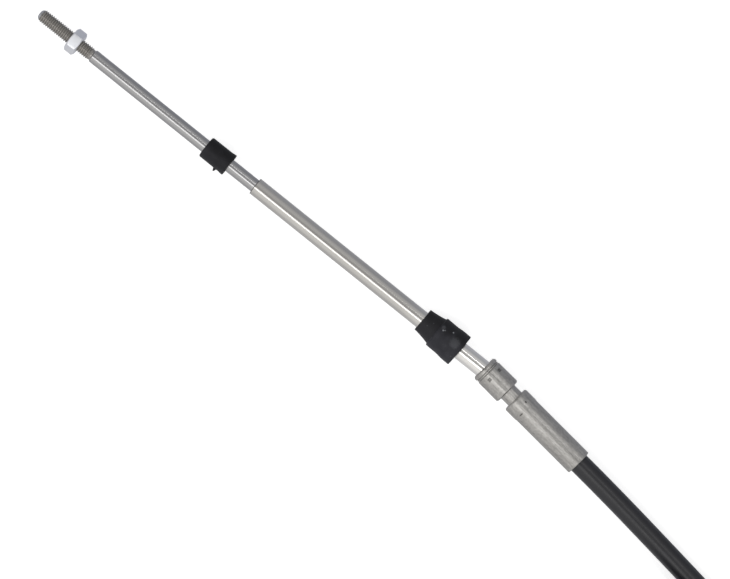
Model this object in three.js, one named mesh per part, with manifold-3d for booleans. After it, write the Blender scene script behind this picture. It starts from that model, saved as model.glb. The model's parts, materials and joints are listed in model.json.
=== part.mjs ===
// Push-pull boat control cable with the same end fitting on both ends: a threaded rod slides in a
// sleeve, and the sleeve swivels on a ball held in the nose of the crimped hub. Millimetres, +Z up.
// +X runs from the engine end's hub towards its rod tip, and the spare jacket lies behind, wound up.
import * as THREE from "three";
import { mergeVertices } from "three/addons/utils/BufferGeometryUtils.js";
import Module from "manifold-3d";

// Clearances between pieces
const runningGap = 0.25; // rod in its sleeve, ball in its seat
const seatGap = 0.3; // pieces that rest on, grip or clamp each other

// Rod: smooth shank, smaller threaded end, rounded inner end
const rodDiameter = 4.7625;
const threadDiameter = 4.35; // mean of crest and root of the #10-32 thread
const threadLength = 23;
const threadTipChamfer = 0.9;
const shoulderChamfer = 0.35;
const shankLength = 107.6; // smooth part, much of it hidden in the sleeve
const rodTravel = 76.2;
const leastRodOut = 11.5; // smooth rod that still shows when the rod is fully in
const engineRodOut = 71.6; // smooth rod that shows at rest, sleeve mouth to thread

// Jam nut
const nutAcrossFlats = 7.94;
const nutThickness = 4;
const nutChamferDrop = 0.45;
const nutFromShoulder = 5.4;

// Rod seal, a rubber wiper that seats over the sleeve's mouth
const sealLength = 10.3;
const sealFrontDiameter = 8;
const sealRearDiameter = 8.37;
const sealEdge = 0.5;
const sealSocketDepth = 3;
const engineSealFromMouth = 11.3;

// Sleeve with its swivel ball
const sleeveDiameter = 6.35;
const sleeveReach = 104.4; // swivel centre to the mouth
const sleeveEdge = 0.25;
const ballDiameter = 8;
const ballRearDiameter = 5.7;

// Boot, a rubber bell on the sleeve with a hollow rear
const bootLength = 16.6;
const bootFrontDiameter = 8.7;
const bootFlareDiameter = 10.46;
const bootFlareLength = 5.9;
const bootStep = 1;
const bootBodyDiameter = 11.76;
const bootRimDiameter = 12.25;
const bootRimFromRear = 2.1;
const bootRimLength = 3.5;
const bootSocketDiameter = 10.4;
const bootSocketDepth = 7;
const bootCockAngle = 1.5; // degrees that the boot sits askew on the engine end's sleeve
const engineBootFromSwivel = 14.3;
const controlBootFromSwivel = 7;

// Hub: nose flange, collar with the ball seat, clamp groove, and the body crimped on the jacket
const noseDiameter = 9.8;
const noseAhead = 4.25; // swivel centre to the front of the nose
const noseFlangeLength = 1.35;
const noseGrooveLength = 0.6;
const noseGrooveDiameter = 9;
const seatAhead = 2; // swivel centre to the lip of the ball seat
const mouthDiameter = 8.2;
const collarDiameter = 9.88;
const collarBehind = 7.3; // swivel centre to the collar's rear face
const clampGrooveLength = 3.7;
const clampGrooveDiameter = 6.35;
const bodyLength = 30.8;
const bodyFrontLength = 4.9;
const bodyTaperLength = 0.8;
const bodyDiameter = 9.57;
const hubChamfer = 0.4;
const coreBore = 3.2;
const jacketPocketDepth = 12;

// Jacket: overall length is tip to tip with both rods at mid travel
const jacketDiameter = 7.36;

// Swivel of the engine end's sleeve at rest, in degrees from the hub's axis
const engineSwivel = 6.25;

// Coil of spare jacket: two layers of two turns, long sides along X, tied at both long sides
const coilInnerTurnRadius = 30;
const coilStraight = 133;
const coilLayers = 2;
const coilTurnsAbreast = 2;
const coilEdge = 1.6;
const coilFrontX = -124; // centre of the turns' round end nearer the hub
const coilRunY = 2.2; // outer turn of the side that carries on from the hub
const tieThickness = 1.3;
const tieWidth = 4.8;
const tieCorner = 1;
const engineSideTieX = -160;
const otherSideTieX = -228;
const tailStartX = -141; // where the last turn has risen onto the others, on the side away from the hub
const tailArcStep = 20; // degrees between the tail's points round the coil's end

// Control end's fitting lies on the coil
const controlHubRearX = -139;

// Facets
const roundSides = 24;
const arcSteps = 5;
const jacketSides = 10;
const leadSteps = 12;
const tailSteps = 12;

const rodRadius = rodDiameter / 2;
const jacketRadius = jacketDiameter / 2;
const hubRear = collarBehind + clampGrooveLength + bodyLength;
const controlRodOut = 2 * leastRodOut + rodTravel - engineRodOut;
const fittingHeight = Math.max(bootRimDiameter, bootBodyDiameter) / 2;
const coilBottom = tieThickness + seatGap;
const coilHeight = coilLayers * jacketDiameter;
const coilTop = coilBottom + coilHeight;
const coilOuterTurnRadius = coilInnerTurnRadius + (coilTurnsAbreast - 1) * jacketDiameter;
const coilMiddleRadius = (coilInnerTurnRadius + coilOuterTurnRadius) / 2;
const coilCentreY = coilRunY + coilOuterTurnRadius;
const controlHeight = coilTop + seatGap + fittingHeight;
const controlY = coilCentreY - coilMiddleRadius;

const steel = { color: 0xa9a7a3, roughness: 0.34, metalness: 1 };
const finishes = {
  rod: new THREE.MeshStandardMaterial(steel),
  nut: new THREE.MeshStandardMaterial({ color: 0xc3c8cc, roughness: 0.3, metalness: 1 }),
  sleeve: new THREE.MeshStandardMaterial({ color: 0xb9b4aa, roughness: 0.26, metalness: 1 }),
  hub: new THREE.MeshStandardMaterial({ color: 0xa39f98, roughness: 0.42, metalness: 1 }),
  rubber: new THREE.MeshStandardMaterial({ color: 0x1c1d1f, roughness: 0.7, metalness: 0 }),
  jacket: new THREE.MeshStandardMaterial({ color: 0x202124, roughness: 0.5, metalness: 0 }),
  tie: new THREE.MeshStandardMaterial({ color: 0x26272a, roughness: 0.45, metalness: 0 }),
};

const wasm = await Module();
wasm.setup();

// A closed geometry as a solid that can be cut
function toSolid(geometry) {
  const bare = geometry.clone();
  bare.deleteAttribute("normal");
  bare.deleteAttribute("uv");
  const merged = mergeVertices(bare, 1e-4);
  return new wasm.Manifold(
    new wasm.Mesh({
      numProp: 3,
      vertProperties: merged.attributes.position.array,
      triVerts: new Uint32Array(merged.index.array),
    }),
  );
}

function toGeometry(solid) {
  const { vertProperties, triVerts } = solid.getMesh();
  const geometry = new THREE.BufferGeometry();
  geometry.setAttribute("position", new THREE.BufferAttribute(vertProperties, 3));
  geometry.setIndex(new THREE.BufferAttribute(triVerts, 1));
  geometry.computeVertexNormals();
  return geometry;
}

// A body turned about X from [x, radius] points, listed from its rear along the outside to its
// front and back through its bore; a solid one starts and ends on the axis
function turned(profile, sides = roundSides) {
  const points = profile.map(([x, radius]) => new THREE.Vector2(radius, x));
  if (profile[0][1] > 0) points.push(points[0].clone());
  const geometry = new THREE.LatheGeometry(points, sides);
  geometry.rotateZ(-Math.PI / 2);
  return geometry;
}

// Points on a circle about the axis' origin, from one x to another
function ballArc(radius, fromX, toX) {
  const from = Math.acos(fromX / radius);
  const to = Math.acos(toX / radius);
  return Array.from({ length: arcSteps + 1 }, (_, step) => {
    const angle = from + ((to - from) * step) / arcSteps;
    return [radius * Math.cos(angle), radius * Math.sin(angle)];
  });
}

// The rod from the sleeve's mouth at x = 0, with a given length of its shank outside
function rodGeometry(out) {
  const inner = out - shankLength;
  const threadRadius = threadDiameter / 2;
  return turned([
    [inner, 0],
    [inner, rodRadius - 2 * shoulderChamfer],
    [inner + 2 * shoulderChamfer, rodRadius],
    [out - shoulderChamfer, rodRadius],
    [out, threadRadius],
    [out + threadLength - threadTipChamfer, threadRadius],
    [out + threadLength, threadRadius - threadTipChamfer],
    [out + threadLength, 0],
  ]);
}

function nutGeometry() {
  const cornerRadius = nutAcrossFlats / Math.sqrt(3);
  const corners = Array.from({ length: 6 }, (_, side) => {
    const angle = ((side + 0.5) * Math.PI) / 3;
    return new THREE.Vector2(cornerRadius * Math.cos(angle), cornerRadius * Math.sin(angle));
  });
  const outline = new THREE.Shape(corners);
  const hole = new THREE.Path();
  hole.absarc(0, 0, threadDiameter / 2 + seatGap, 0, 2 * Math.PI, true);
  outline.holes.push(hole);
  const prism = new THREE.ExtrudeGeometry(outline, {
    depth: nutThickness,
    bevelEnabled: false,
    curveSegments: roundSides / 2,
  });
  prism.rotateY(Math.PI / 2);
  const faceRadius = nutAcrossFlats / 2;
  const chamfer = turned([
    [0, 0],
    [0, faceRadius],
    [nutChamferDrop, cornerRadius],
    [nutThickness - nutChamferDrop, cornerRadius],
    [nutThickness, faceRadius],
    [nutThickness, 0],
  ]);
  return toGeometry(toSolid(prism).intersect(toSolid(chamfer)));
}

function sealGeometry() {
  const gripRadius = rodRadius + seatGap;
  const socketRadius = sleeveDiameter / 2 + seatGap;
  return turned([
    [0, socketRadius],
    [0, sealRearDiameter / 2 - sealEdge],
    [sealEdge, sealRearDiameter / 2],
    [sealLength - sealEdge, sealFrontDiameter / 2],
    [sealLength, sealFrontDiameter / 2 - sealEdge],
    [sealLength, gripRadius],
    [sealSocketDepth + seatGap, gripRadius],
    [sealSocketDepth + seatGap, socketRadius],
  ]);
}

function sleeveGeometry() {
  const radius = sleeveDiameter / 2;
  const ballRadius = ballDiameter / 2;
  const boreRadius = rodRadius + runningGap;
  const ballRear = -Math.sqrt(ballRadius ** 2 - (ballRearDiameter / 2) ** 2);
  const ballFront = Math.sqrt(ballRadius ** 2 - radius ** 2);
  return turned([
    [ballRear, boreRadius],
    ...ballArc(ballRadius, ballRear, ballFront),
    [sleeveReach - sleeveEdge, radius],
    [sleeveReach, radius - sleeveEdge],
    [sleeveReach, boreRadius],
  ]);
}

function bootGeometry() {
  const gripRadius = sleeveDiameter / 2 + seatGap;
  const flareX = bootLength - bootFlareLength;
  const neckX = bootLength - bootFlareLength / 2;
  const neckRadius = (bootFrontDiameter * 0.7 + bootFlareDiameter * 0.3) / 2;
  return turned([
    [0, bootSocketDiameter / 2],
    [0, bootRimDiameter / 2 - sealEdge / 2],
    [bootRimFromRear, bootRimDiameter / 2],
    [bootRimFromRear + bootRimLength, bootBodyDiameter / 2],
    [flareX - bootStep, bootBodyDiameter / 2],
    [flareX, bootFlareDiameter / 2],
    [neckX, neckRadius],
    [bootLength, bootFrontDiameter / 2],
    [bootLength, gripRadius],
    [bootSocketDepth, gripRadius],
    [bootSocketDepth, bootSocketDiameter / 2],
  ]);
}

function hubGeometry() {
  const collar = collarDiameter / 2;
  const body = bodyDiameter / 2;
  const groove = clampGrooveDiameter / 2;
  const nose = noseDiameter / 2;
  const pocket = jacketRadius + seatGap;
  const core = coreBore / 2;
  const seat = ballDiameter / 2 + runningGap;
  const bodyFront = -(collarBehind + clampGrooveLength);
  const flangeRear = noseAhead - noseFlangeLength;
  const collarFront = flangeRear - noseGrooveLength;
  const pocketEnd = -hubRear + jacketPocketDepth + seatGap;
  const seatRear = -Math.sqrt(seat ** 2 - core ** 2);
  return turned([
    [-hubRear, pocket],
    [-hubRear, body - hubChamfer / 2],
    [-hubRear + hubChamfer / 2, body],
    [bodyFront - bodyFrontLength - bodyTaperLength, body],
    [bodyFront - bodyFrontLength, collar],
    [bodyFront - hubChamfer, collar],
    [bodyFront, collar - hubChamfer],
    [bodyFront, groove],
    [-collarBehind, groove],
    [-collarBehind, collar - hubChamfer],
    [-collarBehind + hubChamfer, collar],
    [collarFront - hubChamfer, collar],
    [collarFront, collar - hubChamfer],
    [collarFront, noseGrooveDiameter / 2],
    [flangeRear, noseGrooveDiameter / 2],
    [flangeRear, nose],
    [noseAhead - hubChamfer, nose],
    [noseAhead, nose - hubChamfer],
    [noseAhead, mouthDiameter / 2],
    ...ballArc(seat, seatAhead, seatRear),
    [pocketEnd, core],
    [pocketEnd, pocket],
  ]);
}

function piece(name, geometry, material, x = 0) {
  const mesh = new THREE.Mesh(geometry, material);
  mesh.name = name;
  mesh.position.x = x;
  return mesh;
}

// One end fitting, with its swivel centre at the group's origin and its tip towards +X
function endFitting(end, { swivel, rodOut, sealX, bootX, bootCock }) {
  const fitting = new THREE.Group();
  fitting.add(piece(`${end}_hub`, hubGeometry(), finishes.hub));
  const arm = new THREE.Group();
  arm.rotation.z = THREE.MathUtils.degToRad(swivel);
  arm.add(piece(`${end}_sleeve`, sleeveGeometry(), finishes.sleeve));
  arm.add(piece(`${end}_rod`, rodGeometry(rodOut), finishes.rod, sleeveReach));
  arm.add(piece(`${end}_rod_seal`, sealGeometry(), finishes.rubber, sealX));
  const nutX = sleeveReach + rodOut + nutFromShoulder;
  arm.add(piece(`${end}_jam_nut`, nutGeometry(), finishes.nut, nutX));
  const boot = bootGeometry();
  boot.translate(-bootLength / 2, 0, 0);
  boot.rotateZ(-THREE.MathUtils.degToRad(bootCock));
  boot.translate(bootLength / 2, 0, 0);
  arm.add(piece(`${end}_boot`, boot, finishes.rubber, bootX));
  fitting.add(arm);
  return fitting;
}

const engineEnd = endFitting("engine", {
  swivel: engineSwivel,
  rodOut: engineRodOut,
  sealX: sleeveReach + engineSealFromMouth,
  bootX: engineBootFromSwivel,
  bootCock: bootCockAngle,
});
engineEnd.position.z = fittingHeight;

const controlEnd = endFitting("control", {
  swivel: 0,
  rodOut: controlRodOut,
  sealX: sleeveReach - sealSocketDepth,
  bootX: controlBootFromSwivel,
  bootCock: 0,
});
controlEnd.rotation.z = Math.PI;
controlEnd.position.set(controlHubRearX - hubRear, controlY, controlHeight);

// The jacket between two ends as a straight-sided tube along smooth curve points
function jacketTube(points, sidesRadius, steps) {
  const section = Array.from({ length: jacketSides }, (_, side) => {
    const angle = (2 * Math.PI * side) / jacketSides;
    return new THREE.Vector2(sidesRadius * Math.cos(angle), sidesRadius * Math.sin(angle));
  });
  return new THREE.ExtrudeGeometry(new THREE.Shape(section), {
    steps,
    extrudePath: new THREE.CatmullRomCurve3(points.map((point) => new THREE.Vector3(...point))),
  });
}

// From the engine end's hub, down to the surface and on into the coil's outer turn
const jacketStartX = -hubRear + jacketPocketDepth;
const leadRoute = [
  [jacketStartX, 0, fittingHeight],
  [-hubRear, 0, fittingHeight],
  [-52, 0.02, 6],
  [-62, 0.12, 5.5],
  [-72, 0.32, 4.8],
  [-82, 0.56, 4.2],
  [-92, 0.84, 3.9],
  [-102, 1.16, 4],
  [-112, 1.6, 4.6],
  [coilFrontX + seatGap, coilRunY - 0.1, coilBottom + jacketRadius],
];

// From the top of the coil's far side round its end, and up into the control end's hub
const tailHeight = coilTop + seatGap + jacketRadius;
const tailRise = controlHeight - tailHeight;
const tailArc = Array.from({ length: 180 / tailArcStep + 1 }, (_, step) => {
  const angle = THREE.MathUtils.degToRad(90 - step * tailArcStep);
  return [
    coilFrontX + coilMiddleRadius * Math.cos(angle),
    coilCentreY + coilMiddleRadius * Math.sin(angle),
    tailHeight + tailRise * (0.25 + (0.65 * step * tailArcStep) / 180),
  ];
});
const tailRoute = [
  [tailStartX, coilCentreY + coilMiddleRadius, tailHeight],
  ...tailArc,
  [controlHubRearX, controlY, controlHeight],
  [controlHubRearX - jacketPocketDepth, controlY, controlHeight],
];

// A loop with two straight sides along X and round ends
function loop(Outline, radius) {
  const outline = new Outline();
  const farX = coilFrontX - coilStraight;
  outline.absarc(coilFrontX, coilCentreY, radius, -Math.PI / 2, Math.PI / 2, false);
  outline.absarc(farX, coilCentreY, radius, Math.PI / 2, (3 * Math.PI) / 2, false);
  outline.closePath();
  return outline;
}

function coilGeometry() {
  const outline = loop(THREE.Shape, coilOuterTurnRadius + jacketRadius);
  outline.holes.push(loop(THREE.Path, coilInnerTurnRadius - jacketRadius));
  const ring = new THREE.ExtrudeGeometry(outline, {
    depth: coilHeight - 2 * coilEdge,
    bevelThickness: coilEdge,
    bevelSize: coilEdge,
    bevelOffset: -coilEdge,
    bevelSegments: 1,
    curveSegments: 14,
  });
  ring.translate(0, 0, coilBottom + coilEdge);
  const grooveEnd = [coilFrontX - seatGap, ...leadRoute.at(-1).slice(1)];
  const grooveRoute = [...leadRoute.slice(0, -1), grooveEnd];
  const groove = jacketTube(grooveRoute, jacketRadius + seatGap, leadSteps);
  return toGeometry(toSolid(ring).subtract(toSolid(groove)));
}

// A band around a side of the coil, as wide as the coil's section, that closes over a round piece
// on top of it, or straight across it where there is none
function tieGeometry(topPiece) {
  const halfWidth = (coilTurnsAbreast * jacketDiameter) / 2;
  const band = (Outline, grow) => {
    const corner = tieCorner + grow;
    const side = halfWidth + seatGap + grow;
    const bottom = coilBottom - seatGap - grow;
    const top = coilTop + seatGap + grow;
    const outline = new Outline();
    outline.absarc(-side + corner, bottom + corner, corner, Math.PI, 1.5 * Math.PI, false);
    outline.absarc(side - corner, bottom + corner, corner, -Math.PI / 2, 0, false);
    if (!topPiece) {
      outline.absarc(side - corner, top - corner, corner, 0, Math.PI / 2, false);
      outline.absarc(-side + corner, top - corner, corner, Math.PI / 2, Math.PI, false);
    } else {
      const radius = topPiece.radius + seatGap + grow;
      const reach = Math.hypot(side, topPiece.height - top);
      const lean = Math.acos(radius / reach) - Math.atan2(topPiece.height - top, side);
      outline.lineTo(side, top);
      outline.absarc(0, topPiece.height, radius, lean, Math.PI - lean, false);
      outline.lineTo(-side, top);
    }
    outline.closePath();
    return outline;
  };
  const outline = band(THREE.Shape, tieThickness);
  outline.holes.push(band(THREE.Path, 0));
  const geometry = new THREE.ExtrudeGeometry(outline, {
    depth: tieWidth,
    bevelEnabled: false,
    curveSegments: 6,
  });
  geometry.rotateX(Math.PI / 2);
  geometry.rotateZ(Math.PI / 2);
  return geometry;
}

function tieMesh(name, x, y, topPiece) {
  const mesh = piece(name, tieGeometry(topPiece), finishes.tie, x);
  mesh.position.y = y;
  return mesh;
}

const cable = new THREE.Group();
cable.add(
  engineEnd,
  controlEnd,
  piece("jacket_lead", jacketTube(leadRoute, jacketRadius, leadSteps), finishes.jacket),
  piece("jacket_coil", coilGeometry(), finishes.jacket),
  piece("jacket_tail", jacketTube(tailRoute, jacketRadius, tailSteps), finishes.jacket),
  tieMesh("hub_tie", engineSideTieX, controlY, { radius: bodyDiameter / 2, height: controlHeight }),
  tieMesh("coil_tie", otherSideTieX, coilCentreY + coilMiddleRadius),
);

// The origin is on the surface under the middle of the engine end's fitting
const engineBox = new THREE.Box3().setFromObject(engineEnd, true);
cable.position.x = -(engineBox.min.x + engineBox.max.x) / 2;
cable.position.y = -(engineBox.min.y + engineBox.max.y) / 2;

const part = new THREE.Group();
part.add(cable);
export default part;
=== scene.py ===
import json
import math

import bpy
from mathutils import Matrix, Vector


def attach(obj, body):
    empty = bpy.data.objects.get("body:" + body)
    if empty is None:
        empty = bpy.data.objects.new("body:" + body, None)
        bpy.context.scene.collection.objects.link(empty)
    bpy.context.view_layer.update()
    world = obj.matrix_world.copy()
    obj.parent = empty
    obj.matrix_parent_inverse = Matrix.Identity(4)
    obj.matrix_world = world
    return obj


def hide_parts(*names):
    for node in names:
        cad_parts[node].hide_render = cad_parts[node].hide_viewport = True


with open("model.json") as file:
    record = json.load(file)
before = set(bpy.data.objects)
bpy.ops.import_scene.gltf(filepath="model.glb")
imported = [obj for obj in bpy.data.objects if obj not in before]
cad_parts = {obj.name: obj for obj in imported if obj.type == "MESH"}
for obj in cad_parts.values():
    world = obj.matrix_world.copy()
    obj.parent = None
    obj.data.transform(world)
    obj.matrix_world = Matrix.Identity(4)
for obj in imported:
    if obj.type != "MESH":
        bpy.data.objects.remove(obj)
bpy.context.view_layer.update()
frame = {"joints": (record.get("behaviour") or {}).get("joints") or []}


# Camera, straight above the engine end's fitting. The rod's tip is at the upper left of the picture
# and the jacket leaves it at the lower right. Modelling is in millimetres and placed in metres.
mm = 0.001
joints = {joint["name"]: joint for joint in frame["joints"]}
engine_place = Vector(joints["engine_swivel"]["pos_m"]) / mm
control_place = Vector(joints["control_swivel"]["pos_m"]) / mm

picture_width = 250.4
picture_middle = (-26.06, -0.05)
camera_height = 1500
camera_turn = -135
sensor_width = 36
camera = bpy.data.objects.new("camera", bpy.data.cameras.new("camera"))
bpy.context.scene.collection.objects.link(camera)
bpy.context.scene.camera = camera
camera.data.sensor_width = sensor_width
camera.data.lens = sensor_width * camera_height / picture_width
camera.data.clip_start = 0.01
camera.location = Vector((*picture_middle, engine_place.z + camera_height)) * mm
camera.rotation_euler.z = math.radians(camera_turn)


# Jacket, the black plastic outer casing of the cable, extruded over a lay of steel strands. It leaves
# the hub's rear, drops to the surface and is wound into a flat coil of four turns. Its last part
# crosses the coil's top and ends in the control end's hub.
jacket_diameter = 7.36
pocket_depth = 12
hub_rear = 41.8
coil_front_x = -124
coil_rear_x = -257
coil_middle_radius = 33.68
coil_centre_y = 39.56
coil_middle_z = 8.96
rise_start_x = -200
tail_start_x = -141
tail_z = 20.3
control_x = -139
control_y = coil_centre_y - coil_middle_radius
control_z = 22.745
route_step = 3


def smooth(share):
    share = min(max(share, 0), 1)
    return share * share * (3 - 2 * share)


def through(points):
    """Points of a smooth line through the given ones, about a step apart."""
    places = [Vector(point) for point in points]
    places = [2 * places[0] - places[1], *places, 2 * places[-1] - places[-2]]
    made = []
    for before, start, end, after in zip(places, places[1:], places[2:], places[3:]):
        count = max(1, round((end - start).length / route_step))
        for index in range(count):
            t = index / count
            made.append(
                0.5 * (2 * start + (end - before) * t
                       + (2 * before - 5 * start + 4 * end - after) * t ** 2
                       + (3 * start - before - 3 * end + after) * t ** 3)
            )
    return [*made, places[-2]]


def turn_section(turn, share):
    """Radius and height of a coil's turn, which changes its place in the section by a quarter."""
    angle = math.radians(-45 - 90 * (turn + smooth(share)))
    reach = jacket_diameter / math.sqrt(2)
    return coil_middle_radius + reach * math.cos(angle), coil_middle_z + reach * math.sin(angle)


lead = through([
    (-hub_rear + pocket_depth, 0, 6.125), (-hub_rear, 0, 6.125), (-52, 0.02, 6), (-62, 0.12, 5.5),
    (-72, 0.32, 4.8), (-82, 0.56, 4.2), (-92, 0.84, 3.9), (-102, 1.16, 4), (-112, 1.6, 4.6),
    (-123.7, 2.15, 5.27),
])
coil = []
straight = coil_front_x - coil_rear_x
for turn in range(4):
    radius, height = turn_section(turn, 0)
    count = round(straight / route_step)
    coil += [
        (coil_front_x - straight * (index + 0.5) / count, coil_centre_y - radius, height)
        for index in range(count)
    ]
    count = round(math.pi * radius / route_step)
    for index in range(count):
        angle = math.pi * (index + 0.5) / count
        coil.append((
            coil_rear_x - radius * math.sin(angle), coil_centre_y - radius * math.cos(angle), height
        ))
    count = round(straight / route_step)
    for index in range(count):
        x = coil_rear_x + straight * (index + 0.5) / count
        if turn < 3:
            coil.append((x, coil_centre_y + radius, height))
        elif x < tail_start_x:
            share = (x - rise_start_x) / (tail_start_x - rise_start_x)
            inward = smooth((share - 0.35) / 0.65)
            coil.append((
                x,
                coil_centre_y + radius + (coil_middle_radius - radius) * inward,
                height + (tail_z - height) * smooth(share / 0.65),
            ))
    if turn < 3:
        count = round(math.pi * coil_middle_radius / route_step)
        for index in range(count):
            share = (index + 0.5) / count
            radius, height = turn_section(turn, share)
            coil.append((
                coil_front_x + radius * math.sin(math.pi * share),
                coil_centre_y + radius * math.cos(math.pi * share),
                height,
            ))
tail_points = [(tail_start_x, coil_centre_y + coil_middle_radius, tail_z)]
for angle in range(90, -91, -20):
    share = (90 - angle) / 180
    tail_points.append((
        coil_front_x + coil_middle_radius * math.cos(math.radians(angle)),
        coil_centre_y + coil_middle_radius * math.sin(math.radians(angle)),
        tail_z + (control_z - tail_z) * (0.25 + 0.65 * share),
    ))
tail_points += [
    (control_x, control_y, control_z), (control_x - pocket_depth, control_y, control_z)
]
shift = Vector((engine_place.x, engine_place.y, 0))
route = [(Vector(point) + shift) * mm for point in [*lead, *coil, *through(tail_points)]]


def deselected():
    bpy.ops.object.select_all(action="DESELECT")


def picked(piece):
    """Makes one piece the only selected and the active one."""
    deselected()
    piece.select_set(True)
    bpy.context.view_layer.objects.active = piece


def named(name):
    piece = bpy.context.object
    piece.name = name
    piece.data.name = name
    return piece


def modified(piece, kind, **settings):
    """Adds a modifier with its settings and applies it."""
    picked(piece)
    modifier = piece.modifiers.new(kind.lower(), kind)
    for key, value in settings.items():
        setattr(modifier, key, value)
    bpy.ops.object.modifier_apply(modifier=modifier.name)


def smoothed(piece, angle=30):
    picked(piece)
    bpy.ops.object.shade_smooth_by_angle(angle=math.radians(angle))


class Signal:
    """A node's output. Sums, differences and products of signals add Math nodes."""

    def __init__(self, finish, socket):
        self.finish = finish
        self.socket = socket

    def math(self, operation, first, second):
        return self.finish.node("ShaderNodeMath", {"operation": operation}, {0: first, 1: second})

    def __add__(self, other):
        return self.math("ADD", self, other)

    def __radd__(self, other):
        return self.math("ADD", other, self)

    def __sub__(self, other):
        return self.math("SUBTRACT", self, other)

    def __mul__(self, other):
        return self.math("MULTIPLY", self, other)

    def __rmul__(self, other):
        return self.math("MULTIPLY", other, self)


class Finish:
    """A material, or the surroundings, made of nodes that one method adds."""

    def __init__(self, owner):
        owner.use_nodes = True
        self.owner = owner
        self.tree = owner.node_tree
        self.tree.nodes.clear()

    def node(self, kind, settings=None, inputs=None, output=0):
        made = self.tree.nodes.new(kind)
        for key, value in (settings or {}).items():
            if key == "stops":
                while len(made.color_ramp.elements) < len(value):
                    made.color_ramp.elements.new(0.5)
                for element, (place, tone) in zip(made.color_ramp.elements, value):
                    element.position = place
                    element.color = tone if hasattr(tone, "__len__") else (tone, tone, tone, 1)
            else:
                setattr(made, key, value)
        for key, value in (inputs or {}).items():
            if isinstance(value, Signal):
                self.tree.links.new(value.socket, made.inputs[key])
            else:
                made.inputs[key].default_value = value
        return Signal(self, made.outputs[output]) if made.outputs else None

    def ramp(self, value, *stops):
        return self.node("ShaderNodeValToRGB", {"stops": stops}, {"Fac": value})

    def mix(self, share, low, high):
        return self.node(
            "ShaderNodeMix", {"data_type": "RGBA"}, {0: share, 6: low, 7: high}, output=2
        )

    def place(self):
        """The piece's own coordinates in millimetres, with its axis along X."""
        return self.node("ShaderNodeAttribute", {"attribute_name": "own_place"}, output=1)

    def part(self, vector, axis):
        """One of a vector's three numbers."""
        return self.node("ShaderNodeSeparateXYZ", inputs={0: vector}, output="XYZ".index(axis))

    def off_axis(self):
        """The square of the distance from the piece's axis."""
        across = self.part(self.place(), "Y")
        up = self.part(self.place(), "Z")
        return across * across + up * up

    def scaled(self, scale, offset=(0, 0, 0)):
        return self.node(
            "ShaderNodeMapping", inputs={"Vector": self.place(), "Scale": scale, "Location": offset}
        )

    def noise(self, scale, detail=3, roughness=0.5):
        return self.node(
            "ShaderNodeTexNoise",
            inputs={
                "Vector": self.scaled(scale), "Scale": 1, "Detail": detail, "Roughness": roughness,
            },
        )

    def rise(self, value, start, end):
        """From 0 where the value is at the start to 1 where it is at the end."""
        return self.node(
            "ShaderNodeMapRange", inputs={"Value": value, "From Min": start, "From Max": end}
        )

    def bump(self, height, distance):
        inputs = {"Height": height, "Distance": distance * mm, "Strength": 1}
        return self.node("ShaderNodeBump", inputs=inputs)

    def surface(self, **sockets):
        """The shader itself: values are set on its sockets and signals are linked."""
        inputs = {name.replace("_", " "): value for name, value in sockets.items()}
        shader = self.node("ShaderNodeBsdfPrincipled", inputs=inputs)
        self.node("ShaderNodeOutputMaterial", inputs={"Surface": shader})


def dressed(piece, material):
    piece.data.materials.clear()
    piece.data.materials.append(material)


jacket_line = bpy.data.curves.new("jacket", "CURVE")
jacket_line.dimensions = "3D"
spline = jacket_line.splines.new("POLY")
spline.points.add(len(route) - 1)
for point, place in zip(spline.points, route):
    point.co = (*place, 1)
jacket_line.bevel_depth = jacket_diameter / 2 * mm
jacket_line.bevel_resolution = 6
jacket_line.use_fill_caps = True
jacket = bpy.data.objects.new("jacket", jacket_line)
bpy.context.scene.collection.objects.link(jacket)
picked(jacket)
bpy.ops.object.convert(target="MESH")
jacket = named("jacket")
bpy.ops.object.shade_smooth()

ring_size = len(jacket.data.vertices) // len(route)
own_place = jacket.data.attributes.new("own_place", "FLOAT_VECTOR", "POINT")
along = 0
for ring, place in enumerate(route):
    if ring:
        along += (place - route[ring - 1]).length / mm
    for side in range(ring_size):
        angle = 2 * math.pi * side / ring_size
        own_place.data[ring * ring_size + side].vector = (
            along,
            jacket_diameter / 2 * math.cos(angle),
            jacket_diameter / 2 * math.sin(angle),
        )

finish = Finish(bpy.data.materials.new("black jacket plastic"))
die_lines = finish.noise((0.03, 3.2, 3.2), detail=4)
grain = finish.noise((4, 4, 4), detail=3, roughness=0.6)
cloud = finish.noise((0.08, 0.5, 0.5), detail=2)
finish.surface(
    Base_Color=finish.mix(cloud, (0.004, 0.004, 0.007, 1), (0.008, 0.008, 0.012, 1)),
    Roughness=0.28 + 0.12 * grain + 0.08 * die_lines,
    Specular_IOR_Level=0.65,
    Normal=finish.bump(die_lines * 0.7 + grain * 0.3, 0.03),
)
dressed(jacket, finish.owner)
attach(jacket, "cable")
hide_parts("jacket_lead", "jacket_coil", "jacket_tail")


# Hub, turned from stainless steel bar and crimped on the jacket. The nose flange holds the swivel's
# ball, six stakes in the collar keep its seat, the clamp fits the groove, and the body is swaged.
nose_ahead = 4.25
flange_length = 1.5
groove_length = 0.85
nose_radius = 4.9
nose_groove_radius = 4.45
nose_ring_radius = 4.72
seat_ahead = 2
mouth_radius = 4.1
ball_seat_radius = 4.25
collar_radius = 4.94
collar_behind = 7.3
clamp_groove_length = 3.7
clamp_groove_radius = 3.175
body_front_length = 4.9
body_taper = 0.8
body_radius = 4.785
core_radius = 1.6
jacket_pocket_radius = 3.85
stake_count = 6
first_stake = 18.5
stake_dish = {"deep": 0.07, "across": 1.5, "along": 2.2}
stroke_places = (-0.42, 0, 0.42)
stroke_size = (0.28, 1.35, 0.8)
dot_size = (0.6, 0.6, 1)
dash_size = (0.34, 1.6, 0.8)
scratch_size = (0.16, 2.6, 0.3)
groove_ripples = ((0.045, 11, 1), (0.03, 19, 0))
arm_angle = 6.25


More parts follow.
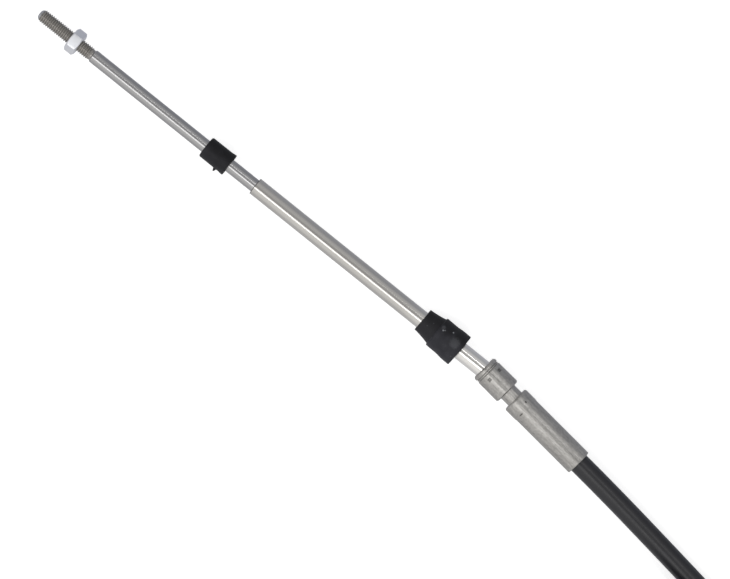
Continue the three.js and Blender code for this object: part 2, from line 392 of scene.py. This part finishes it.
def turned(name, profile, sides=64):
    """A solid of revolution about X, from points of distance along it and radius."""
    deselected()
    x, radius = profile[0]
    bpy.ops.mesh.primitive_plane_add(size=1, location=(x, 0, radius))
    piece = named(name)
    bpy.ops.object.transform_apply(location=True, rotation=False, scale=False)
    bpy.ops.object.mode_set(mode="EDIT")
    bpy.ops.mesh.merge(type="CENTER")
    for (x0, radius0), (x1, radius1) in zip(profile, profile[1:]):
        bpy.ops.mesh.extrude_region_move(
            TRANSFORM_OT_translate={"value": (x1 - x0, 0, radius1 - radius0)}
        )
    bpy.ops.mesh.select_all(action="SELECT")
    bpy.ops.mesh.spin(
        steps=sides, angle=2 * math.pi, center=(0, 0, 0), axis=(1, 0, 0)
    )
    bpy.ops.mesh.select_all(action="SELECT")
    bpy.ops.mesh.remove_doubles(threshold=0.002)
    bpy.ops.mesh.normals_make_consistent(inside=False)
    bpy.ops.object.mode_set(mode="OBJECT")
    return piece


def arc(radius, start_x, end_x, count=8):
    """Profile points on a ball about the origin, from one x to another."""
    start, end = math.acos(start_x / radius), math.acos(end_x / radius)
    angles = [start + (end - start) * step / count for step in range(count + 1)]
    return [(radius * math.cos(angle), radius * math.sin(angle)) for angle in angles]


def eased(piece, width, segments=2):
    """Breaks the sharp edges, as tumbling does."""
    modified(
        piece, "BEVEL", width=width, segments=segments, limit_method="ANGLE",
        angle_limit=math.radians(28), use_clamp_overlap=True,
    )


def cut(piece, tool, operation="DIFFERENCE"):
    modified(piece, "BOOLEAN", operation=operation, object=tool, solver="EXACT")
    bpy.data.objects.remove(tool)
    return piece


def measured(piece):
    """Keeps each point's own place in millimetres, which the finish's pattern follows."""
    places = piece.data.attributes.new("own_place", "FLOAT_VECTOR", "POINT")
    for vertex, place in zip(piece.data.vertices, places.data):
        place.vector = vertex.co


def placed(model, name, end, x, turn=None):
    """A copy of a modelled piece, with its own mesh, at one end of the cable."""
    piece = model.copy()
    piece.data = model.data.copy()
    bpy.context.scene.collection.objects.link(piece)
    origin = engine_place if end == "engine" else control_place
    if turn is None:
        turn = arm_angle if end == "engine" else 180
    turned_by = Matrix.Rotation(math.radians(turn), 4, "Z")
    piece.matrix_world = (
        Matrix.Scale(mm, 4) @ Matrix.Translation(origin) @ turned_by
        @ Matrix.Translation((x, 0, 0))
    )
    picked(piece)
    piece.name = name
    piece.data.name = name
    bpy.ops.object.transform_apply()
    return piece


body_front = -(collar_behind + clamp_groove_length)
flange_rear = nose_ahead - flange_length
collar_front = flange_rear - groove_length
pocket_end = -hub_rear + pocket_depth + 0.3
hub = turned("hub_model", [
    (-hub_rear, jacket_pocket_radius),
    (-hub_rear, body_radius - 0.1),
    (-hub_rear + 0.25, body_radius),
    (body_front - body_front_length - body_taper, body_radius),
    (body_front - body_front_length, collar_radius),
    (body_front - 0.5, collar_radius),
    (body_front, collar_radius - 0.35),
    (body_front, clamp_groove_radius),
    (-collar_behind, clamp_groove_radius),
    (-collar_behind, collar_radius - 0.4),
    (-collar_behind + 0.4, collar_radius),
    *[(-collar_behind + 1.2 + 0.5 * step, collar_radius) for step in range(15)],
    (collar_front - 0.2, collar_radius),
    (collar_front, collar_radius - 0.14),
    (collar_front, nose_groove_radius),
    (collar_front + 0.16, nose_groove_radius),
    (collar_front + 0.22, nose_ring_radius),
    (collar_front + 0.62, nose_ring_radius + 0.06),
    (collar_front + 0.68, nose_groove_radius),
    (flange_rear, nose_groove_radius),
    (flange_rear, nose_radius - 0.1),
    (flange_rear + 0.1, nose_radius),
    (nose_ahead - 0.75, nose_radius),
    (nose_ahead - 0.35, nose_radius - 0.22),
    (nose_ahead, mouth_radius + 0.25),
    (nose_ahead - 0.15, mouth_radius),
    *arc(ball_seat_radius, seat_ahead, -math.sqrt(ball_seat_radius ** 2 - core_radius ** 2)),
    (pocket_end, core_radius),
    (pocket_end, jacket_pocket_radius),
    (-hub_rear, jacket_pocket_radius),
], sides=96)
stake_angles = [
    math.radians(first_stake + 360 * index / stake_count) for index in range(stake_count)
]
hair = 0.01
for vertex in hub.data.vertices:
    x = vertex.co.x
    radius = math.hypot(vertex.co.y, vertex.co.z)
    angle = math.atan2(vertex.co.y, vertex.co.z)
    outward = Vector((0, math.sin(angle), math.cos(angle)))
    if -collar_behind < x < collar_front and radius > collar_radius - hair:
        for stake in stake_angles:
            across = radius * math.remainder(angle - stake, 2 * math.pi) / stake_dish["across"]
            along = x / stake_dish["along"]
            vertex.co -= outward * stake_dish["deep"] * math.exp(-(across ** 2 + along ** 2))
    in_groove = body_front - hair < x < hair - collar_behind
    if in_groove and radius < clamp_groove_radius + hair:
        vertex.co += outward * sum(
            height * math.sin(waves * angle + start) for height, waves, start in groove_ripples
        )
eased(hub, 0.07)


def punched(piece, x, angle, radius, size, drop=0.3):
    """A rectangular punch mark, given along the axis, round it and deep, turned from the top."""
    deselected()
    bpy.ops.mesh.primitive_cube_add(size=1, location=(x, 0, radius))
    punch = named("punch")
    bpy.ops.object.mode_set(mode="EDIT")
    bpy.ops.transform.resize(value=size)
    bpy.ops.object.mode_set(mode="OBJECT")
    bpy.ops.object.transform_apply(location=True, rotation=False, scale=False)
    modified(punch, "BEVEL", width=drop * min(size), segments=2)
    punch.rotation_euler.x = -angle
    picked(punch)
    bpy.ops.object.transform_apply()
    cut(piece, punch)


for stake in stake_angles:
    for x in stroke_places:
        punched(hub, x, stake, collar_radius - 0.02, stroke_size, drop=0.2)
for x, degrees, radius, size in (
    (-14.1, -21.6, collar_radius - 0.05, dot_size),
    (-16.05, 29.5, body_radius, dash_size),
    (-16.15, -17, body_radius + 0.05, scratch_size),
):
    punched(hub, x, math.radians(degrees), radius, size)
smoothed(hub)
measured(hub)

finish = Finish(bpy.data.materials.new("crimped stainless steel"))
brushed = finish.noise((0.1, 3, 3), detail=4, roughness=0.65)
mottle = finish.noise((1.3, 1.9, 1.9), detail=5, roughness=0.72)
cloud = finish.noise((0.12, 0.25, 0.25), detail=3)
shade = finish.ramp(mottle * 0.55 + brushed * 0.45, (0.4, 0), (0.6, 1))
tone = finish.mix(shade, (0.33, 0.32, 0.307, 1), (0.57, 0.555, 0.53, 1))
along = finish.part(finish.place(), "X")
# Painted shade: where the surface is sunk over 0.2 mm below the body's radius (the stake strokes, the
# dot, dash and scratch, the rear face and the bores) it is painted dark grey, except at the nose and
# in the clamp groove.
sunk = finish.rise(finish.off_axis(), (body_radius - 0.1) ** 2, (body_radius - 0.2) ** 2)
behind_nose = finish.rise(along, collar_front - 0.1, collar_front - 0.3)
ahead_of_groove = finish.rise(along, -collar_behind, 0.2 - collar_behind)
behind_groove = finish.rise(along, body_front, body_front - 0.2)
painted_recess_shade = sunk * behind_nose * (ahead_of_groove + behind_groove)
finish.surface(
    Base_Color=finish.mix(painted_recess_shade, tone, (0.1, 0.096, 0.09, 1)),
    Metallic=1.0,
    Roughness=0.27 + 0.16 * mottle + 0.06 * cloud,
    Normal=finish.bump(brushed * 0.8 + mottle * 0.7, 0.05),
)
dressed(hub, finish.owner)
for end in ("engine", "control"):
    piece = placed(hub, end + "_hub_body", end, 0, turn=0 if end == "engine" else 180)
    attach(piece, "cable")
    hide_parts(end + "_hub")
bpy.data.objects.remove(hub)


# Sleeve, a drawn stainless steel tube with a ball formed on its rear end, which swivels in the
# hub's nose. The rod slides in its bore.
sleeve_radius = 3.175
sleeve_reach = 104.4
ball_radius = 4
bore_radius = 2.63
ball_opening_radius = 2.85
polished_until = 12
dull_from = 40
ball_rear = -math.sqrt(ball_radius ** 2 - ball_opening_radius ** 2)
ball_front = math.sqrt(ball_radius ** 2 - sleeve_radius ** 2)
sleeve = turned("sleeve_model", [
    (ball_rear, bore_radius),
    *arc(ball_radius, ball_rear, ball_front, 12),
    (sleeve_reach, sleeve_radius),
    (sleeve_reach, bore_radius),
    (ball_rear, bore_radius),
])
eased(sleeve, 0.2, 3)
smoothed(sleeve)
measured(sleeve)

finish = Finish(bpy.data.materials.new("drawn stainless steel"))
drawn = finish.noise((0.02, 9, 9), detail=4, roughness=0.6)
cloud = finish.noise((0.04, 0.4, 0.4), detail=3)
along = finish.part(finish.place(), "X")
# Near the hub the tube is polished, with a lower roughness, and its colour is lifted to near white
# there as a painted sheen; both fade into the handled tone from 12 to 40 mm along it.
dulled_and_sheen_faded = finish.rise(along, polished_until, dull_from)
polished_painted_sheen = (0.9, 0.88, 0.85, 1)
handled = finish.mix(cloud, (0.585, 0.565, 0.535, 1), (0.655, 0.64, 0.615, 1))
# Painted shade: the last 0.3 mm of the tube, at its mouth where the rod enters, is painted near
# black.
mouth = finish.rise(along, sleeve_reach - 0.32, sleeve_reach - 0.12)
finish.surface(
    Base_Color=finish.mix(mouth, finish.mix(dulled_and_sheen_faded, polished_painted_sheen, handled), (0.09, 0.09, 0.09, 1)),
    Metallic=1.0,
    Roughness=0.12 + 0.08 * drawn + 0.05 * dulled_and_sheen_faded,
    Normal=finish.bump(drawn, 0.0015),
)
dressed(sleeve, finish.owner)
for end in ("engine", "control"):
    piece = placed(sleeve, end + "_sleeve_tube", end, 0)
    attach(piece, end + "_arm")
    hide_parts(end + "_sleeve")
bpy.data.objects.remove(sleeve)


# Rod, ground stainless steel bar with a #10-32 thread rolled on its outer end. Its smooth shank
# slides in the sleeve, and most of it is hidden there.
rod_radius = 2.38125
shank_length = 107.6
thread_length = 23
thread_pitch = 0.79375
crest_radius = 2.36
root_radius = 1.92
neck_length = 0.7
shoulder = {"engine": sleeve_reach + 71.6, "control": sleeve_reach + 27.6}

shank = turned("rod_model", [
    (-shank_length, 0),
    (-shank_length, rod_radius - 0.7),
    (-shank_length + 0.7, rod_radius),
    (-0.45, rod_radius),
    (0, root_radius + 0.05),
    (neck_length + 0.6, root_radius + 0.05),
    (neck_length + 0.6, 0),
])

deselected()
bpy.ops.mesh.primitive_plane_add(size=1, location=(0, 0, root_radius))
thread = named("thread_model")
bpy.ops.object.transform_apply(location=True, rotation=False, scale=False)
bpy.ops.object.mode_set(mode="EDIT")
bpy.ops.mesh.merge(type="CENTER")
depth = crest_radius - root_radius
for run, rise in (
    (0.12, 0), (0.2, depth * 0.8), (0.08, depth * 0.2), (0.1, 0), (0.08, -depth * 0.2),
    (0.21375, -depth * 0.8),
):
    bpy.ops.mesh.extrude_region_move(TRANSFORM_OT_translate={"value": (run, 0, rise)})
bpy.ops.object.mode_set(mode="OBJECT")
thread_turns = 31
modified(
    thread, "SCREW", axis="X", angle=2 * math.pi, screw_offset=thread_pitch,
    iterations=thread_turns, steps=36, render_steps=36,
)
picked(thread)
bpy.ops.object.mode_set(mode="EDIT")
bpy.ops.mesh.select_all(action="SELECT")
bpy.ops.mesh.remove_doubles(threshold=0.002)
thread_start = thread_pitch * 1.5
for x, away in ((thread_start - 0.3, -1), (thread_start + thread_length - neck_length + 0.4, 1)):
    bpy.ops.mesh.select_all(action="SELECT")
    bpy.ops.mesh.bisect(
        plane_co=(x, 0, 0), plane_no=(away, 0, 0), use_fill=True, clear_outer=True,
        threshold=0.0001,
    )
bpy.ops.mesh.select_all(action="SELECT")
bpy.ops.mesh.normals_make_consistent(inside=False)
bpy.ops.transform.translate(value=(neck_length - thread_start, 0, 0))
bpy.ops.object.mode_set(mode="OBJECT")
envelope = turned("envelope", [
    (neck_length - 0.5, 0),
    (neck_length - 0.5, root_radius - 0.1),
    (neck_length + 0.6, crest_radius + 0.1),
    (thread_length - 1.5, crest_radius + 0.1),
    (thread_length - 1, root_radius + 0.12),
    (thread_length - 0.55, root_radius - 0.12),
    (thread_length - 0.2, root_radius - 0.45),
    (thread_length, root_radius - 0.85),
    (thread_length, 0),
], sides=48)
envelope.rotation_euler.x = math.radians(1.7)
cut(thread, envelope, "INTERSECT")
rod = cut(shank, thread, "UNION")
smoothed(rod)
measured(rod)

finish = Finish(bpy.data.materials.new("ground stainless steel"))
ground = finish.noise((0.05, 10, 10), detail=4, roughness=0.6)
cloud = finish.noise((0.05, 0.5, 0.5), detail=3)
along = finish.part(finish.place(), "X")
on_thread = finish.rise(along, -0.2, 0.2)
on_tip = finish.rise(along, thread_length - 1.1, thread_length - 0.7)
# Painted shade: the thread is painted darker towards its roots, for the shade between its turns. The
# tip has its own lighter, bluer tone.
crest = finish.rise(finish.off_axis(), root_radius ** 2, crest_radius ** 2)
shank_tone = finish.mix(cloud, (0.45, 0.445, 0.446, 1), (0.48, 0.475, 0.477, 1))
thread_tone_and_root_shade = finish.mix(crest, (0.36, 0.345, 0.325, 1), (0.5, 0.48, 0.455, 1))
thread_tone_and_root_shade = finish.mix(on_tip, thread_tone_and_root_shade, (0.52, 0.53, 0.56, 1))
finish.surface(
    Base_Color=finish.mix(on_thread, shank_tone, thread_tone_and_root_shade),
    Metallic=1.0,
    Roughness=0.2 + 0.06 * ground + 0.12 * on_thread,
    Normal=finish.bump(ground, 0.0012),
)
dressed(rod, finish.owner)
for end in ("engine", "control"):
    piece = placed(rod, end + "_threaded_rod", end, shoulder[end])
    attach(piece, end + "_rod_body")
    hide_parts(end + "_rod")
bpy.data.objects.remove(rod)


# Jam nut, a thin zinc plated hexagon nut, chamfered on both faces, that locks whatever is screwed
# on the rod's thread.
nut_across_flats = 7.94
nut_thickness = 4
nut_from_shoulder = 5.4
nut_turn = 3
nut_bore_radius = 2.44
nut_mouth_radius = 2.95
corner_radius = nut_across_flats / math.sqrt(3)
deselected()
bpy.ops.mesh.primitive_cylinder_add(vertices=6, radius=corner_radius, depth=nut_thickness)
nut = named("nut_model")
bpy.ops.object.mode_set(mode="EDIT")
bpy.ops.transform.rotate(
    value=math.radians(90), orient_axis="Y", center_override=(0, 0, 0)
)
bpy.ops.transform.rotate(
    value=math.radians(nut_turn), orient_axis="X", center_override=(0, 0, 0)
)
bpy.ops.transform.translate(value=(nut_thickness / 2, 0, 0))
bpy.ops.object.mode_set(mode="OBJECT")
chamfer = turned("chamfer", [
    (-0.01, 0),
    (-0.01, nut_across_flats / 2 - 0.15),
    (0.6, corner_radius + 0.05),
    (nut_thickness - 0.6, corner_radius + 0.05),
    (nut_thickness + 0.01, nut_across_flats / 2 - 0.15),
    (nut_thickness + 0.01, 0),
])
cut(nut, chamfer, "INTERSECT")
bore = turned("bore", [
    (-0.1, 0),
    (-0.1, nut_mouth_radius),
    (0.4, nut_bore_radius),
    (nut_thickness - 0.4, nut_bore_radius),
    (nut_thickness + 0.1, nut_mouth_radius),
    (nut_thickness + 0.1, 0),
])
cut(nut, bore)
eased(nut, 0.13, 3)
smoothed(nut)
measured(nut)

finish = Finish(bpy.data.materials.new("zinc plate"))
cloud = finish.noise((0.5, 0.5, 0.5), detail=3)
grain = finish.noise((5, 5, 5), detail=3, roughness=0.6)
finish.surface(
    Base_Color=finish.mix(cloud, (0.84, 0.855, 0.9, 1), (0.92, 0.93, 0.96, 1)),
    Metallic=1.0,
    Roughness=0.34 + 0.1 * grain,
    Normal=finish.bump(grain * 0.4 + cloud * 0.4, 0.02),
)
dressed(nut, finish.owner)
for end in ("engine", "control"):
    piece = placed(nut, end + "_hexagon_nut", end, shoulder[end] + nut_from_shoulder)
    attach(piece, end + "_nut_body")
    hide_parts(end + "_jam_nut")
bpy.data.objects.remove(nut)


# Rod seal, a moulded black rubber wiper. Its socket seats on the sleeve's mouth and its front lip
# grips the rod; here it has slid off along the rod.
seal_length = 10.3
seal_rear_radius = 4.185
seal_front_radius = 4
rod_grip_radius = 2.52
sleeve_socket_radius = 3.4
socket_depth = 3
seal_at = {"engine": sleeve_reach + 11.3, "control": sleeve_reach - socket_depth}
seal = turned("seal_model", [
    (0, sleeve_socket_radius),
    (0, seal_rear_radius - 0.1),
    (0.15, seal_rear_radius),
    (0.9, seal_rear_radius - 0.02),
    (1.7, seal_rear_radius - 0.17),
    (2.6, seal_rear_radius - 0.16),
    (seal_length - 0.4, seal_front_radius),
    (seal_length, seal_front_radius - 0.35),
    (seal_length, rod_grip_radius + 0.25),
    (seal_length - 0.3, rod_grip_radius),
    (socket_depth + 0.3, rod_grip_radius),
    (socket_depth + 0.3, sleeve_socket_radius),
    (0, sleeve_socket_radius),
])
deselected()
bpy.ops.mesh.primitive_cone_add(
    vertices=20, radius1=0.9, radius2=0.18, depth=1.5, location=(0, 0, 0)
)
nub = named("moulding_nub")
nub.rotation_euler.x = math.radians(-90)
nub.location = (3.3, seal_rear_radius + 0.1, -0.4)
picked(nub)
bpy.ops.object.transform_apply()
cut(seal, nub, "UNION")
eased(seal, 0.1)
smoothed(seal)
measured(seal)


def rubber(name, radius, dark, light, rough, sheen, front=1000, smudges=()):
    """Moulded black rubber: a fine grain, a cloudy bloom, dust, and painted shade on its -Y side.

    It is painted darker ahead of the front, as shade. A smudge is a rubbed place: x, y, size and
    strength.
    """
    made = Finish(bpy.data.materials.new(name))
    grain = made.noise((3.5, 3.5, 3.5), detail=4, roughness=0.65)
    bloom = made.noise((0.35, 0.35, 0.35), detail=4, roughness=0.55)
    speck = made.node(
        "ShaderNodeTexVoronoi",
        inputs={"Vector": made.scaled((1.1, 1.1, 1.1)), "Scale": 1, "Randomness": 1},
    )
    dust = made.ramp(speck, (0.03, 0.55), (0.09, 0))
    tone = made.mix(
        made.ramp(bloom, (0.35, 0), (0.7, 1)),
        (dark, dark, dark * 1.45, 1), (light, light, light * 1.3, 1),
    )
    # Painted shade: ahead of the front, on the boot's flare, the rubber is painted darker.
    painted_front_shade = made.rise(made.part(made.place(), "X"), front - 0.3, front)
    tone = made.mix(painted_front_shade, tone, (dark * 0.7, dark * 0.7, dark * 0.95, 1))
    tone = made.mix(dust, tone, (0.11, 0.11, 0.11, 1))
    # Painted shade: the rubber's -Y side is painted nearly black, with a cloudy edge.
    side = made.part(made.place(), "Y") * (0.5 / radius)
    painted_side_shade = made.ramp(side + 0.6 * bloom + 0.2, (0.2, 0.85), (0.52, 0))
    tone = made.mix(painted_side_shade, tone, (0.002, 0.002, 0.003, 1))
    upper = made.ramp(made.part(made.place(), "Z"), (0, 0), (1, 1))
    for x, y, reach, strength in smudges:
        away = made.node(
            "ShaderNodeVectorMath", {"operation": "LENGTH"},
            {0: made.scaled((1 / reach, 1 / reach, 0), (-x / reach, -y / reach, 0))}, output=1,
        )
        rubbed = made.ramp(away + 1.6 * grain - 0.8, (0.55, strength), (0.95, 0))
        tone = made.mix(rubbed * upper, tone, (0.3, 0.31, 0.33, 1))
    made.surface(
        Base_Color=tone,
        Roughness=rough + 0.15 * grain,
        Specular_IOR_Level=sheen,
        Normal=made.bump(grain * 0.5 + bloom * 0.8, 0.09),
    )
    return made.owner


seal_rubber = rubber(
    "seal rubber", seal_rear_radius, dark=0.007, light=0.014, rough=0.46, sheen=0.3
)
dressed(seal, seal_rubber)
for end in ("engine", "control"):
    piece = placed(seal, end + "_wiper", end, seal_at[end])
    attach(piece, "engine_seal_body" if end == "engine" else "control_arm")
    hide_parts(end + "_rod_seal")
bpy.data.objects.remove(seal)


# Boot, a moulded black rubber bell that slides on the sleeve. Its hollow rear covers the swivel
# when it is pushed back on the hub's nose.
boot_length = 16.6
boot_front_radius = 4.35
boot_flare_radius = 5.23
boot_flare_length = 5.9
boot_body_radius = 5.88
boot_rim_radius = 6.125
boot_socket_radius = 5.2
boot_socket_depth = 7
boot_bore_radius = 3.35
boot_cock = 1.5
boot_at = {"engine": 14.3, "control": 7}
flare_x = boot_length - boot_flare_length
flare = []
for step in range(9):
    share = step / 8
    sweep = share + 0.55 * share * (1 - share)
    flare.append((
        flare_x + boot_flare_length * share,
        boot_flare_radius + (boot_front_radius - boot_flare_radius) * sweep,
    ))
boot = turned("boot_model", [
    (0, boot_socket_radius),
    (0, boot_rim_radius - 0.1),
    (0.15, boot_rim_radius - 0.02),
    (2.1, boot_rim_radius),
    (3.4, boot_rim_radius - 0.02),
    (5.4, boot_body_radius),
    (flare_x - 0.75, boot_body_radius),
    (flare_x - 0.45, boot_body_radius - 0.08),
    (flare_x - 0.3, boot_flare_radius + 0.1),
    *flare,
    (boot_length, boot_bore_radius),
    (boot_socket_depth + 0.6, boot_bore_radius),
    (boot_socket_depth, boot_socket_radius - 0.4),
    (boot_socket_depth - 0.5, boot_socket_radius),
    (0, boot_socket_radius),
])
eased(boot, 0.08)
smoothed(boot, 24)
measured(boot)
smudges = (
    (3.1, -0.9, 2.2, 0.13), (8.9, -1.7, 0.34, 0.9), (5.7, -3.4, 0.3, 0.9), (9.4, -2.6, 0.9, 0.12),
    (8.4, -2.1, 0.25, 0.7), (14.2, 0.6, 0.15, 0.4), (12.9, -1.4, 0.14, 0.4), (1.2, 3.4, 0.15, 0.3),
)
# The boot's flare, from flare_x forward, is painted darker as shade.
boot_rubber = rubber(
    "boot rubber", boot_rim_radius, dark=0.014, light=0.027, rough=0.5, sheen=0.36, front=flare_x,
    smudges=smudges,
)
dressed(boot, boot_rubber)
for end in ("engine", "control"):
    model = boot.copy()
    model.data = boot.data.copy()
    bpy.context.scene.collection.objects.link(model)
    if end == "engine":
        middle = Matrix.Translation((boot_length / 2, 0, 0))
        lean = Matrix.Rotation(math.radians(-boot_cock), 4, "Z")
        model.matrix_world = middle @ lean @ middle.inverted()
        picked(model)
        bpy.ops.object.transform_apply()
    piece = placed(model, end + "_bell", end, boot_at[end])
    bpy.data.objects.remove(model)
    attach(piece, end + "_boot_body")
    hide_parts(end + "_boot")
bpy.data.objects.remove(boot)


# Cable ties of black nylon, pulled tight round the coil's two long sides, with their heads and
# trimmed tails towards its middle. One of them also holds the control end's hub down on the coil.
tie_width = 4.8
tie_thickness = 1.2
tie_gap = 0.35
tie_corner = 1.05
tie_head_size = (6.2, 3.4, 5.6)
tie_head_height = 9
tie_head_away = 1.65
tie_tail_size = (tie_width, 1.3, 3.6)
tie_tail_height = 12.6
tie_tail_away = 1.75
coil_half_width = jacket_diameter
coil_bottom = 1.6
coil_top = 16.32


def tie_outline(top_piece):
    """Points of the strap's loop seen along the coil's side, as distance across and height."""
    side = coil_half_width + tie_gap
    bottom = coil_bottom - tie_gap
    top = coil_top + tie_gap

    def bend(y, z, radius, start, end, count=8):
        angles = [math.radians(start + (end - start) * step / count) for step in range(count + 1)]
        return [(y + radius * math.cos(a), z + radius * math.sin(a)) for a in angles]

    points = bend(-side + tie_corner, bottom + tie_corner, tie_corner, 180, 270)
    points += bend(side - tie_corner, bottom + tie_corner, tie_corner, -90, 0)
    if top_piece is None:
        points += bend(side - tie_corner, top - tie_corner, tie_corner, 0, 90)
        points += bend(-side + tie_corner, top - tie_corner, tie_corner, 90, 180)
    else:
        radius, height = top_piece[0] + tie_gap, top_piece[1]
        reach = math.hypot(side, height - top)
        lean = math.degrees(math.acos(radius / reach) - math.atan2(height - top, side))
        points.append((side, top))
        points += bend(0, height, radius, lean, 180 - lean, 24)
        points.append((-side, top))
    return points


finish = Finish(bpy.data.materials.new("black nylon"))
grain = finish.noise((2, 2, 2), detail=3, roughness=0.6)
finish.surface(
    Base_Color=finish.mix(grain, (0.012, 0.012, 0.013, 1), (0.02, 0.02, 0.022, 1)),
    Roughness=0.36 + 0.14 * grain,
    Normal=finish.bump(grain, 0.03),
)
for name, node, x, y, outward, top_piece in (
    ("hub_strap", "hub_tie", -160, control_y, -1, (body_radius, control_z)),
    ("coil_strap", "coil_tie", -228, coil_centre_y + coil_middle_radius, 1, None),
):
    outline = tie_outline(top_piece)
    deselected()
    bpy.ops.mesh.primitive_plane_add(size=1, location=(x, outline[0][0] + y, outline[0][1]))
    strap = named(name)
    bpy.ops.object.transform_apply(location=True, rotation=False, scale=False)
    bpy.ops.object.mode_set(mode="EDIT")
    bpy.ops.mesh.merge(type="CENTER")
    closed = [*outline, outline[0]]
    for (y0, z0), (y1, z1) in zip(closed, closed[1:]):
        bpy.ops.mesh.extrude_region_move(TRANSFORM_OT_translate={"value": (0, y1 - y0, z1 - z0)})
    bpy.ops.mesh.select_all(action="SELECT")
    bpy.ops.mesh.remove_doubles(threshold=0.001)
    bpy.ops.mesh.select_all(action="SELECT")
    bpy.ops.mesh.extrude_region_move(TRANSFORM_OT_translate={"value": (-tie_width, 0, 0)})
    bpy.ops.mesh.select_all(action="SELECT")
    bpy.ops.mesh.normals_make_consistent(inside=False)
    bpy.ops.object.mode_set(mode="OBJECT")
    modified(strap, "SOLIDIFY", thickness=tie_thickness, offset=1)
    eased(strap, 0.2)
    for sort, size, away, height in (
        ("head", tie_head_size, tie_head_away, tie_head_height),
        ("tail", tie_tail_size, tie_tail_away, tie_tail_height),
    ):
        inner_y = y - outward * (coil_half_width + tie_gap + away)
        deselected()
        bpy.ops.mesh.primitive_cube_add(size=1, location=(x - tie_width / 2, inner_y, height))
        block = named(sort)
        bpy.ops.object.mode_set(mode="EDIT")
        bpy.ops.transform.resize(value=size)
        bpy.ops.object.mode_set(mode="OBJECT")
        bpy.ops.object.transform_apply(location=True, rotation=False, scale=False)
        eased(block, 0.35)
        cut(strap, block, "UNION")
    smoothed(strap)
    measured(strap)
    strap.matrix_world = Matrix.Scale(mm, 4) @ Matrix.Translation(shift)
    picked(strap)
    bpy.ops.object.transform_apply()
    dressed(strap, finish.owner)
    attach(strap, "cable")
    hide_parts(node)


# Floor and lights of a plain studio: a wide pale floor, two soft boxes overhead on either side of
# the rod, and light from all round that is graded by direction.
floor_size = 12
floor_z = -0.0003
deselected()
bpy.ops.mesh.primitive_plane_add(size=floor_size, location=(0, 0, floor_z))
floor = named("floor")
bpy.ops.object.transform_apply(location=True, rotation=False, scale=False)
finish = Finish(bpy.data.materials.new("pale floor"))
texture = finish.node("ShaderNodeTexCoord", output=3)
mottle = finish.node("ShaderNodeTexNoise", inputs={"Vector": texture, "Scale": 3, "Detail": 2})
finish.surface(
    Base_Color=finish.mix(mottle, (0.84, 0.84, 0.84, 1), (0.86, 0.86, 0.86, 1)),
    Roughness=0.9,
    Emission_Color=(1, 1, 1, 1),
    Emission_Strength=0.63,
)
dressed(floor, finish.owner)
floor.visible_glossy = False


def soft_box(name, tilt, distance, width, length, middle, power):
    """A soft box beside the rod's axis, tilted from straight above, with its middle along X."""
    light = bpy.data.objects.new(name, bpy.data.lights.new(name, "AREA"))
    bpy.context.scene.collection.objects.link(light)
    light.data.shape = "RECTANGLE"
    light.data.size = length
    light.data.size_y = width
    light.data.energy = power
    angle = math.radians(tilt)
    light.location = (middle, distance * math.sin(angle), distance * math.cos(angle))
    light.rotation_euler.x = -angle


soft_box("left_box", tilt=22, distance=1.6, width=0.4, length=1.8, middle=0, power=4.1)
soft_box("right_box", tilt=-25, distance=1.6, width=0.15, length=1.1, middle=-0.38, power=1.9)

world = bpy.data.worlds.new("studio")
bpy.context.scene.world = world
finish = Finish(world)
direction = finish.node("ShaderNodeTexCoord")
sideways = finish.part(direction, "Y") * 0.5 + 0.5
upward = finish.part(direction, "Z") * 2 + 0.5
above = finish.ramp(
    sideways,
    (0, (0.33, 0.34, 0.37, 1)),
    (0.05, (0.41, 0.42, 0.44, 1)),
    (0.12, (0.54, 0.54, 0.55, 1)),
    (0.3, (0.56, 0.56, 0.56, 1)),
    (0.42, (0.4, 0.4, 0.4, 1)),
    (0.5, (0.34, 0.34, 0.34, 1)),
    (0.6, (0.5, 0.5, 0.5, 1)),
    (0.75, (0.84, 0.835, 0.825, 1)),
    (0.93, (0.86, 0.86, 0.85, 1)),
    (1, (0.76, 0.76, 0.76, 1)),
)
below = finish.ramp(sideways, (0, (0.38, 0.39, 0.43, 1)), (1, (0.62, 0.62, 0.63, 1)))
around = finish.mix(finish.ramp(upward, (0.3, 0), (0.6, 1)), below, above)
background = finish.node("ShaderNodeBackground", inputs={"Color": around, "Strength": 1})
finish.node("ShaderNodeOutputWorld", inputs={"Surface": background})
bpy.context.scene.view_settings.view_transform = "Standard"
